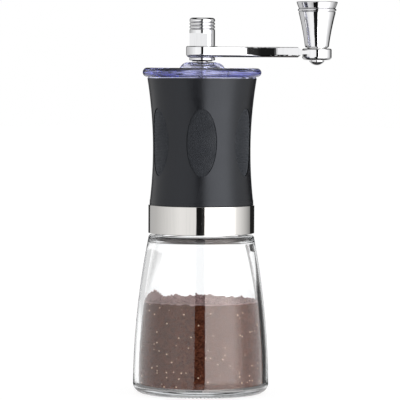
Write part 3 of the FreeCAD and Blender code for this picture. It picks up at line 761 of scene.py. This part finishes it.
@dataclass
class GlassJar:
    """Glass jar with a thick base, a knurled foot and a threaded neck."""

    radius: float = 36.4
    heel_round: float = 5.2
    foot_width: float = 5.0
    punt_depth: float = 1.2
    side_height: float = 78.2
    side_bow: float = 1.8
    shoulder_radius: float = 28.4
    shoulder_round: float = 1.6
    wall: float = 2.8
    floor: float = 3.8
    floor_round: float = 2.4
    neck_radius: float = 24.6
    neck_wall: float = 2.6
    neck_height: float = 10.8
    lip_round: float = 0.9
    knurls: int = 100
    knurl_depth: float = 0.9
    knurl_reach: float = 3.2
    thread_pitch: float = 4.0
    thread_height: float = 0.5
    thread_turns: float = 1.6
    thread_width: float = 0.75
    thread_fade: float = 6.0
    flat_steps: int = 4
    heel_steps: int = 12
    side_steps: int = 20
    neck_steps: int = 32
    lip_steps: int = 6
    steps: int = 500

    @property
    def side_top(self) -> float:
        """Height where the side ends."""
        return self.heel_round + self.side_height

    @property
    def neck_root(self) -> float:
        """Height where the neck starts."""
        return self.side_top + self.shoulder_round

    @property
    def neck_top(self) -> float:
        """Height of the lip."""
        return self.neck_root + self.neck_height

    @property
    def side_mid(self) -> Vector:
        """The outer side's middle point, as (r, z)."""
        bulge = (self.radius + self.shoulder_radius) / 2 + self.side_bow
        return Vector((bulge, self.heel_round + self.side_height / 2))

    @property
    def hollow_top(self) -> float:
        """Height where the hollow's side ends."""
        return self.side_top - self.wall - self.shoulder_round

    def inner_side(self) -> Arc:
        """Find the arc of the hollow's side.

        Returns:
            The arc.
        """
        foot = Vector((self.radius - self.wall, self.floor + self.floor_round))
        mid = self.side_mid - Vector((self.wall, 0.0))
        return Arc.through(foot, mid, Vector((self.shoulder_radius - self.wall, self.hollow_top)))

    def section(self) -> HalfSection:
        """Draw the glass from the punt round the outside to the inner floor.

        Returns:
            The half section.
        """
        foot = self.radius - self.heel_round
        foot_inner = foot - self.foot_width
        mid_radius, mid_z = self.side_mid
        neck_inner = self.neck_radius - self.neck_wall
        hollow = self.radius - self.wall
        made = HalfSection(0.0, self.punt_depth)
        made.to(foot_inner - self.punt_depth, self.punt_depth, self.flat_steps)
        made.to(foot_inner, 0.0).to(foot, 0.0, self.flat_steps)
        made.rise(self.radius, self.heel_round, self.heel_steps)
        made.via(mid_radius, mid_z, self.shoulder_radius, self.side_top, self.side_steps)
        made.crown(self.shoulder_radius - self.shoulder_round, self.neck_root)
        made.to(self.neck_radius, self.neck_root)
        made.to(self.neck_radius, self.neck_top - self.lip_round, self.neck_steps)
        made.crown(self.neck_radius - self.lip_round, self.neck_top, self.lip_steps)
        made.to(neck_inner, self.neck_top).to(neck_inner, self.side_top)
        made.rise(self.shoulder_radius - self.wall, self.hollow_top)
        made.via(mid_radius - self.wall, mid_z, hollow, self.floor + self.floor_round, self.side_steps)
        made.crown(hollow - self.floor_round, self.floor)
        return made.to(0.0, self.floor, self.flat_steps)

    def knurl(self, mesh: Mesh) -> None:
        """Raise grooves in the foot, so that it stands on knurls.

        Args:
            mesh: The jar's mesh.
        """
        foot = self.radius - self.heel_round
        inner = foot - self.foot_width
        for vert in mesh.verts:
            r, z = polar_mm(vert)
            if z > self.punt_depth or r < inner - MERGE / MM:
                continue
            fade = clamp((foot + self.knurl_reach - r) / self.knurl_reach)
            wave = 0.5 - 0.5 * math.cos(self.knurls * math.atan2(vert.co.y, vert.co.x))
            vert.co.z += wave * fade * self.knurl_depth * MM

    def thread(self, mesh: Mesh) -> None:
        """Swell a helical thread out of the neck.

        Args:
            mesh: The jar's mesh.
        """
        low = self.neck_root + self.thread_pitch / 2
        for vert in mesh.verts:
            r, z = polar_mm(vert)
            if abs(r - self.neck_radius) > MERGE / MM or not self.neck_root < z < self.neck_top:
                continue
            turn = math.atan2(vert.co.y, vert.co.x) / math.tau % 1.0
            lead = (z - low) / self.thread_pitch - turn
            whole = round(lead)
            along = whole + turn
            fade = clamp(min(along, self.thread_turns - along) * self.thread_fade)
            swell = math.exp(-(((lead - whole) * self.thread_pitch / self.thread_width) ** 2)) * fade
            grow = (r + swell * self.thread_height) / r
            vert.co.x *= grow
            vert.co.y *= grow

    def build(self) -> Iterator[Piece]:
        """Make the jar.

        Yields:
            The jar.
        """
        mesh = self.section().spin(self.steps)
        self.knurl(mesh)
        self.thread(mesh)
        yield Piece("jar_body", mesh, JAR_GLASS, Body.JAR, Slot.GLASS, ("glass_jar",))


@dataclass
class CoffeeFill:
    """Ground coffee in the jar, with a crumbly top."""

    jar: GlassJar
    gap: float = 0.15
    top: float = 49.7
    lump_height: float = 1.5
    lump_scale: float = 260.0
    lump_fade: float = 0.7
    lump_step: float = 2.2
    lump_layers: int = 4
    calm_share: float = 0.3
    calm_depth: float = 20.0
    heap_place: Span = (-25.5, 6.0)
    heap_radius: float = 4.8
    heap_height: float = 5.0
    crumbs: int = 900
    crumb_size: Span = (0.2, 0.8)
    crumb_lift: float = 0.5
    crumb_squash: tuple[Span, ...] = ((0.7, 1.0), (0.6, 1.0), (0.5, 0.9))
    batch: int = 50
    flecks: int = 46
    fleck_size: Span = (0.1, 0.26)
    fleck_rise: Span = (2.0, 16.0)
    seed: int = 7
    skin: float = 0.5
    side_steps: int = 14
    top_steps: int = 46
    steps: int = 168

    def surface(self, x: float, y: float) -> float:
        """Height of the coffee's top over one point, in metres.

        Args:
            x: Place across, in metres.
            y: Place in depth, in metres.

        Returns:
            The height.
        """
        spot = Vector((x, y, 0.0))
        lump = noise.fractal(spot * self.lump_scale, self.lump_fade, self.lump_step, self.lump_layers)
        lump *= self.calm_share + (1.0 - self.calm_share) * clamp(0.5 + y / MM / self.calm_depth)
        away = math.hypot(x / MM - self.heap_place[0], y / MM - self.heap_place[1])
        heap = self.heap_height * math.exp(-((away / self.heap_radius) ** 2))
        return (self.top + lump * self.lump_height + heap) * MM

    def bed(self) -> Mesh:
        """Spin the coffee to fit the glass and break up its top.

        Returns:
            The mesh.
        """
        jar, side = self.jar, self.jar.inner_side()
        low, hollow = jar.floor + self.gap, jar.radius - jar.wall - self.gap
        bend = jar.floor + jar.floor_round
        mid_z = (bend + self.top) / 2
        mid_r, rim = side.far_side(mid_z) - self.gap, side.far_side(self.top) - self.gap
        made = HalfSection(0.0, low).to(hollow - jar.floor_round, low, jar.flat_steps)
        made.rise(hollow, bend).via(mid_r, mid_z, rim, self.top, self.side_steps)
        mesh = made.to(0.0, self.top, self.top_steps).spin(self.steps)
        for vert in mesh.verts:
            if vert.co.z > (self.top - self.skin) * MM:
                vert.co.z = self.surface(vert.co.x, vert.co.y)
        return mesh

    def places(self, draw: random.Random) -> Iterator[tuple[Vector, float]]:
        """Draw where loose crumbs lie on the top and flecks cling to the glass.

        Args:
            draw: Where the chances come from.

        Yields:
            A crumb's centre, in metres, and its radius, in millimetres.
        """
        side = self.jar.inner_side()
        rim = side.far_side(self.top) - self.gap
        least, spread = self.crumb_size
        for _ in range(self.crumbs):
            size = least + spread * draw.random() ** 2
            r = (rim - size) * math.sqrt(draw.random())
            turn = draw.uniform(0.0, math.tau)
            x, y = r * math.cos(turn) * MM, r * math.sin(turn) * MM
            yield Vector((x, y, self.surface(x, y) + size * self.crumb_lift * MM)), size
        least, spread = self.fleck_rise
        for _ in range(self.flecks):
            size = draw.uniform(*self.fleck_size)
            z = self.top + least + spread * draw.random() ** 2
            r = side.far_side(z) - self.gap - size
            turn = draw.uniform(0.0, math.tau)
            yield Vector((r * math.cos(turn), r * math.sin(turn), z)) * MM, size

    def scatter(self, mesh: Mesh) -> None:
        """Add the loose crumbs and flecks, a batch at a time.

        Args:
            mesh: The mesh that they join.
        """
        draw = random.Random(self.seed)
        places = list(self.places(draw))
        for first in range(0, len(places), self.batch):
            loose = bmesh.new()
            for place, size in places[first:first + self.batch]:
                self.crumb(loose, draw, place, size)
            data = bpy.data.meshes.new("loose")
            loose.to_mesh(data)
            loose.free()
            mesh.from_mesh(data)
            bpy.data.meshes.remove(data)

    def crumb(self, mesh: Mesh, draw: random.Random, place: Vector, size: float) -> None:
        """Add one crumb.

        Args:
            mesh: The mesh that it joins.
            draw: Where its turn comes from.
            place: Its centre, in metres.
            size: Its radius, in millimetres.
        """
        axis = Vector((draw.random(), draw.random(), draw.random()))
        turn = Quaternion(axis, draw.uniform(0.0, math.tau))
        squash = Matrix.Diagonal((*(draw.uniform(*ends) for ends in self.crumb_squash), 1.0))
        matrix = Matrix.Translation(place) @ turn.normalized().to_matrix().to_4x4() @ squash
        bmesh.ops.create_icosphere(mesh, subdivisions=1, radius=size * MM, matrix=matrix)

    def build(self) -> Iterator[Piece]:
        """Make the coffee.

        Yields:
            The coffee.
        """
        mesh = self.bed()
        self.scatter(mesh)
        yield Piece("coffee_grounds", mesh, COFFEE, Body.JAR)


@dataclass
class GripPads:
    """Six oval rubber pads with raised dots, let into the grip."""

    count: int = 6
    width: float = 16.1
    height: float = 36.0
    inset: float = 0.3
    thickness: float = 0.62
    rim_drop: float = 0.16
    body_base: float = 101.0
    body_height: float = 67.8
    foot_bevel: float = 0.4
    base_radius: float = 27.9
    waist_radius: float = 26.16
    waist_height: float = 28.7
    top_radius: float = 29.3
    rings: int = 14
    steps: int = 72
    dot_pitch: float = 0.95
    dot_radius: float = 0.33
    dot_height: float = 0.16
    dot_margin: float = 0.93
    dot_tip: float = 0.5
    dot_sides: int = 6

    @property
    def middle(self) -> float:
        """Height of the pads' centre."""
        return self.body_base + self.body_height / 2

    def face(self) -> Arc:
        """Find the arc that the pads' faces follow.

        Returns:
            The arc.
        """
        low = Vector((self.base_radius - self.inset, self.body_base + self.foot_bevel))
        mid = Vector((self.waist_radius - self.inset, self.body_base + self.waist_height))
        high = Vector((self.top_radius - self.inset, self.body_base + self.body_height))
        return Arc.through(low, mid, high)

    def on_face(self, x: float, z: float, drop: float = 0.0) -> Vector:
        """A point of the front pad, in metres, from its place and its drop below the face in millimetres."""
        r = self.face().near_side(z) - drop
        return Vector((x, -math.sqrt(r * r - x * x), z)) * MM

    def oval(self) -> Mesh:
        """Spin a flat oval, lay it on the grip's curve and give it its thickness.

        Returns:
            The mesh of the front pad, without dots.
        """
        mesh = bmesh.new()
        tip = mesh.verts.new((0.0, 0.0, 0.0))
        for ring in range(1, self.rings + 1):
            tip = bmesh.ops.extrude_vert_indiv(mesh, verts=[tip])["verts"][0]
            tip.co = Vector((ring / self.rings, 0.0, 0.0))
        revolve(mesh, BACK, self.steps)
        for vert in mesh.verts:
            share = math.hypot(vert.co.x, vert.co.z)
            drop = self.rim_drop * max(0.0, share * self.rings - self.rings + 1.0)
            x, z = vert.co.x * self.width / 2, self.middle + vert.co.z * self.height / 2
            vert.co = self.on_face(x, z, drop)
        bmesh.ops.recalc_face_normals(mesh, faces=mesh.faces)
        first = next(iter(mesh.faces))
        if first.normal.y > 0.0:
            bmesh.ops.reverse_faces(mesh, faces=mesh.faces)
        bmesh.ops.solidify(mesh, geom=mesh.faces, thickness=self.thickness * MM)
        return mesh

    def dots(self, mesh: Mesh) -> None:
        """Set raised dots on the front pad, in staggered rows.

        Args:
            mesh: The pad's mesh.
        """
        row_pitch = self.dot_pitch * math.sqrt(3.0) / 2
        rows = int(self.height / 2 / row_pitch)
        columns = int(self.width / 2 / self.dot_pitch) + 1
        for row in range(-rows, rows + 1):
            for column in range(-columns, columns + 1):
                x = (column + 0.5 * (row % 2)) * self.dot_pitch
                z = row * row_pitch
                if math.hypot(2 * x / self.width, 2 * z / self.height) > self.dot_margin:
                    continue
                foot = self.on_face(x, self.middle + z)
                outward = Vector((foot.x, foot.y, 0.0)).normalized()
                turn = outward.to_track_quat("Z", "Y").to_matrix().to_4x4()
                radius = self.dot_radius * MM
                bmesh.ops.create_cone(
                    mesh, cap_ends=True, segments=self.dot_sides, radius1=radius,
                    radius2=radius * self.dot_tip, depth=self.dot_height * 2 * MM,
                    matrix=Matrix.Translation(foot) @ turn,
                )

    def build(self) -> Iterator[Piece]:
        """Make the pads, each turned to its own place.

        Yields:
            The pads, from the front one on.
        """
        front = self.oval()
        self.dots(front)
        for index in range(self.count):
            mesh = front.copy()
            turn = Matrix.Rotation(math.tau * index / self.count, 3, "Z")
            bmesh.ops.rotate(mesh, cent=ORIGIN, matrix=turn, verts=mesh.verts)
            node = f"grip_pad_{index + 1}"
            yield Piece(f"stippled_pad_{index + 1}", mesh, PAD_RUBBER, Body.MILL, Slot.PAD, (node,))
        front.free()


@dataclass(frozen=True)
class Panel:
    """One upright panel of the tent: where it starts and ends, and how bright it is there."""

    start: float
    end: float
    level: float
    end_level: float


@dataclass(frozen=True)
class Flag:
    """A card in the tent: its sides, its level, and how far up a ray points where it starts and is full."""

    start: float
    end: float
    level: float
    start_up: float
    full_up: float


@dataclass
class Tent:
    """White tent that lights the scene, as each kind of ray sees it."""

    ambient: float = 0.65
    panel_edge: float = 0.8
    panels: tuple[Panel, ...] = (
        Panel(-180.0, -157.0, 1.0, 0.6),
        Panel(-157.0, -118.0, 0.6, 0.75),
        Panel(-118.0, -47.0, 0.75, 1.3),
        Panel(-47.0, 0.0, 1.3, 1.2),
        Panel(0.0, 58.0, 3.4, 3.7),
        Panel(58.0, 84.0, 3.7, 1.3),
        Panel(84.0, 132.0, 1.3, 0.35),
        Panel(132.0, 180.0, 0.35, 1.0),
    )
    rim_flags: tuple[Flag, ...] = (
        Flag(-178.0, -150.0, 0.04, -0.19, -0.13),
        Flag(132.0, 170.0, 0.02, -0.19, -0.13),
    )
    backdrop: float = 1.15
    flags: tuple[Flag, ...] = (
        Flag(-172.0, -140.0, 0.75, -0.03, 0.01),
        Flag(136.0, 163.0, 0.05, 0.075, 0.05),
        Flag(-174.0, -100.0, 0.14, -0.2, -0.32),
        Flag(100.0, 174.0, 0.1, -0.2, -0.32),
    )
    slit_left: Span = (1.8, 12.0)
    slit_half: Span = (9.3, 15.0)
    slit_drop: Span = (0.1, 0.35)
    slit_level: float = 0.012
    zenith: Span = (0.35, 0.65)
    zenith_level: float = 0.04
    skylight: Span = (0.84, 0.92)
    skylight_level: float = 0.8
    nadir: Span = (0.5, 0.75)
    nadir_level: float = 0.08
    front_drop: Span = (-0.2, -0.14)
    strip_pitch: float = 20.0
    strip_edge: Span = (-0.75, -0.45)
    strip_level: float = 0.4
    beyond: Span = (85.0, 100.0)

    def __post_init__(self) -> None:
        """Start the world's tree and draw a ray's turn from the camera's side and how far up it points."""
        world = bpy.data.worlds.new("tent")
        world.cycles.sampling_method = "NONE"
        bpy.context.scene.world = world
        world.use_nodes = True
        self.graph = Graph(world.node_tree)
        right, back, self.up = self.graph.axes(self.graph.add("TexCoord").outputs["Generated"])
        turn = self.graph.calc("ARCTAN2", right, self.graph.calc("MULTIPLY", back, -1.0))
        self.turn = self.graph.calc("DEGREES", turn)

    def ring(self) -> Socket:
        """Draw how bright the ring of panels is.

        Returns:
            The level.
        """
        brightest = max(panel.level for panel in self.panels)
        stops: list[tuple[float, Colour]] = []
        for panel in self.panels:
            first, last = panel.start + self.panel_edge, panel.end - self.panel_edge
            stops.append((first / FULL_TURN + 0.5, grey(panel.level / brightest)))
            stops.append((last / FULL_TURN + 0.5, grey(panel.end_level / brightest)))
        share = self.graph.calc("MULTIPLY_ADD", self.turn, 1.0 / FULL_TURN, 0.5)
        return self.graph.calc("MULTIPLY", self.graph.ramp(share, stops), brightest)

    def carded(self, level: object, flags: tuple[Flag, ...]) -> Socket:
        """Hang cards in front of a backdrop.

        Args:
            level: How bright the backdrop is.
            flags: The cards.

        Returns:
            The level with the cards.
        """
        graph, edge = self.graph, self.panel_edge
        for flag in flags:
            middle, reach = (flag.start + flag.end) / 2, (flag.end - flag.start) / 2
            off_middle = graph.calc("ABSOLUTE", graph.calc("SUBTRACT", self.turn, middle))
            inside = graph.span(off_middle, (reach - edge, reach + edge), (1.0, 0.0))
            way = -1.0 if flag.full_up < flag.start_up else 1.0
            high = graph.span(graph.calc("MULTIPLY", self.up, way), (flag.start_up * way, flag.full_up * way))
            level = graph.mix(graph.calc("MULTIPLY", inside, high), level, grey(flag.level))
        return level

    def mirrored(self) -> Socket:
        """Draw what reflections see: the tent, the dark slit at the camera, and dimmer ends.

        Returns:
            The level.
        """
        graph, edge = self.graph, self.panel_edge
        below = graph.calc("MULTIPLY", self.up, -1.0)
        left = graph.span(below, self.slit_drop, self.slit_left)
        half = graph.span(below, self.slit_drop, self.slit_half)
        away = graph.calc("SUBTRACT", graph.calc("ABSOLUTE", graph.calc("ADD", self.turn, left)), half)
        open_part = graph.span(away, (-edge, edge), (self.slit_level, 1.0))
        zenith = graph.span(self.up, self.zenith, (1.0, self.zenith_level))
        nadir = graph.span(below, self.nadir, (1.0, self.nadir_level))
        walls = graph.calc("MULTIPLY", self.carded(self.ring(), self.rim_flags), open_part)
        walls = graph.calc("MULTIPLY", walls, graph.calc("MULTIPLY", zenith, nadir))
        return graph.mix(graph.span(self.up, self.skylight), walls, grey(self.skylight_level))

    def build(self) -> None:
        """Light the scene: white behind, the tent in reflections, strips and cards through glass."""
        graph = self.graph
        rays = graph.add("LightPath").outputs
        mirrored = self.mirrored()
        level = graph.mix(rays["Is Glossy Ray"], grey(self.ambient), mirrored)
        ripple = graph.calc("COSINE", graph.calc("MULTIPLY", self.turn, math.tau / self.strip_pitch))
        strips = graph.span(ripple, self.strip_edge, (self.strip_level, self.backdrop))
        front = graph.mix(graph.span(self.up, self.front_drop), strips, mirrored)
        behind = self.carded(grey(self.backdrop), self.flags)
        through = graph.mix(graph.span(graph.calc("ABSOLUTE", self.turn), self.beyond), front, behind)
        level = graph.mix(rays["Is Transmission Ray"], level, through)
        level = graph.mix(rays["Is Camera Ray"], level, grey(1.0))
        graph.add("OutputWorld", graph.add("Background", level).outputs[0])


@dataclass
class Studio:
    """Pale floor, two soft lamps and the camera, in a tent."""

    tent: Tent
    camera_place: Place = (0.0, -1.608, 0.1806)
    camera_aim: Place = (-0.0008, 0.0, 0.1035)
    camera_roll: float = 0.28
    lens: float = 270.0
    clip: Span = (0.05, 50.0)
    floor_size: float = 12.0
    floor_drop: float = 0.0003
    floor_colour: Colour = grey(0.22)
    floor_glow: float = 0.87
    lamp_places: tuple[Place, ...] = ((-1.2, -0.7, 0.8), (1.1, -0.9, 0.8))
    lamp_size: float = 0.9
    lamp_power: float = 4.2
    lamp_aim: Place = (0.0, 0.0, 0.1)
    bounces: int = 28

    def floor(self) -> None:
        """Lay a pale floor that shows white but keeps the shadow."""
        mesh = bmesh.new()
        bmesh.ops.create_grid(mesh, x_segments=1, y_segments=1, size=self.floor_size / 2)
        bmesh.ops.translate(mesh, verts=mesh.verts, vec=(0.0, 0.0, -self.floor_drop))
        data = bpy.data.meshes.new("floor")
        mesh.to_mesh(data)
        mesh.free()
        made = stand("floor", data)
        made.visible_glossy = made.visible_transmission = False
        material = bpy.data.materials.new("floor_paper")
        material.use_nodes = True
        graph = Graph(material.node_tree)
        rays = graph.add("LightPath").outputs
        paper = graph.add("BsdfDiffuse", self.floor_colour)
        glow = graph.add("Emission", None, graph.calc("MULTIPLY", rays["Is Camera Ray"], self.floor_glow))
        both = graph.add("AddShader", paper.outputs[0], glow.outputs[0])
        graph.add("OutputMaterial", both.outputs[0])
        data.materials.append(material)

    @staticmethod
    def point(made: bpy.types.Object, place: Place, aim: Place, roll: float = 0.0) -> None:
        """Move a lamp or a camera to its place and point it.

        Args:
            made: The lamp or camera.
            place: Where it stands.
            aim: What it points at.
            roll: Its turn about the way it points, in degrees.
        """
        made.location = place
        way = (Vector(aim) - Vector(place)).to_track_quat("-Z", "Y")
        made.rotation_euler = (way @ Quaternion(UP, math.radians(roll))).to_euler()

    def lamps(self) -> None:
        """Hang the soft lamps, which show in no reflection."""
        for index, place in enumerate(self.lamp_places):
            lamp = bpy.data.lights.new(f"soft_lamp_{index + 1}", "AREA")
            lamp.shape = "SQUARE"
            lamp.size = self.lamp_size
            lamp.energy = self.lamp_power
            made = stand(lamp.name, lamp)
            self.point(made, place, self.lamp_aim)
            made.visible_glossy = made.visible_transmission = False

    def camera(self) -> None:
        """Stand the camera where the photograph was taken from."""
        data = bpy.data.cameras.new("camera")
        data.lens = self.lens
        data.clip_start, data.clip_end = self.clip
        made = stand("camera", data)
        self.point(made, self.camera_place, self.camera_aim, self.camera_roll)
        bpy.context.scene.camera = made

    def build(self) -> None:
        """Set up everything that isn't part of the object."""
        scene = bpy.context.scene
        scene.view_settings.view_transform = "Standard"
        for kind in ("max", "glossy", "transmission"):
            setattr(scene.cycles, f"{kind}_bounces", self.bounces)
        self.tent.build()
        self.floor()
        self.lamps()
        self.camera()


def dress_nodes() -> None:
    """Give every carried-over node its finish."""
    for finish, names in NODE_FINISHES.items():
        for name in names:
            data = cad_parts[name].data
            data.materials.clear()
            data.materials.append(finish.material())
            LOG.info("%s: %s", name, finish.name)


def main() -> None:
    """Build the grinder's looks and its studio."""
    logging.basicConfig(level=logging.INFO, format="%(message)s")
    for stray in ("Cube", "Light", "Camera"):
        if stray in bpy.data.objects:
            bpy.data.objects.remove(bpy.data.objects[stray])
    dress_nodes()
    jar = GlassJar()
    for assembly in (jar, CoffeeFill(jar), GripPads()):
        for piece in assembly.build():
            piece.place()
    Studio(Tent()).build()


if __name__ == "__main__":
    main()
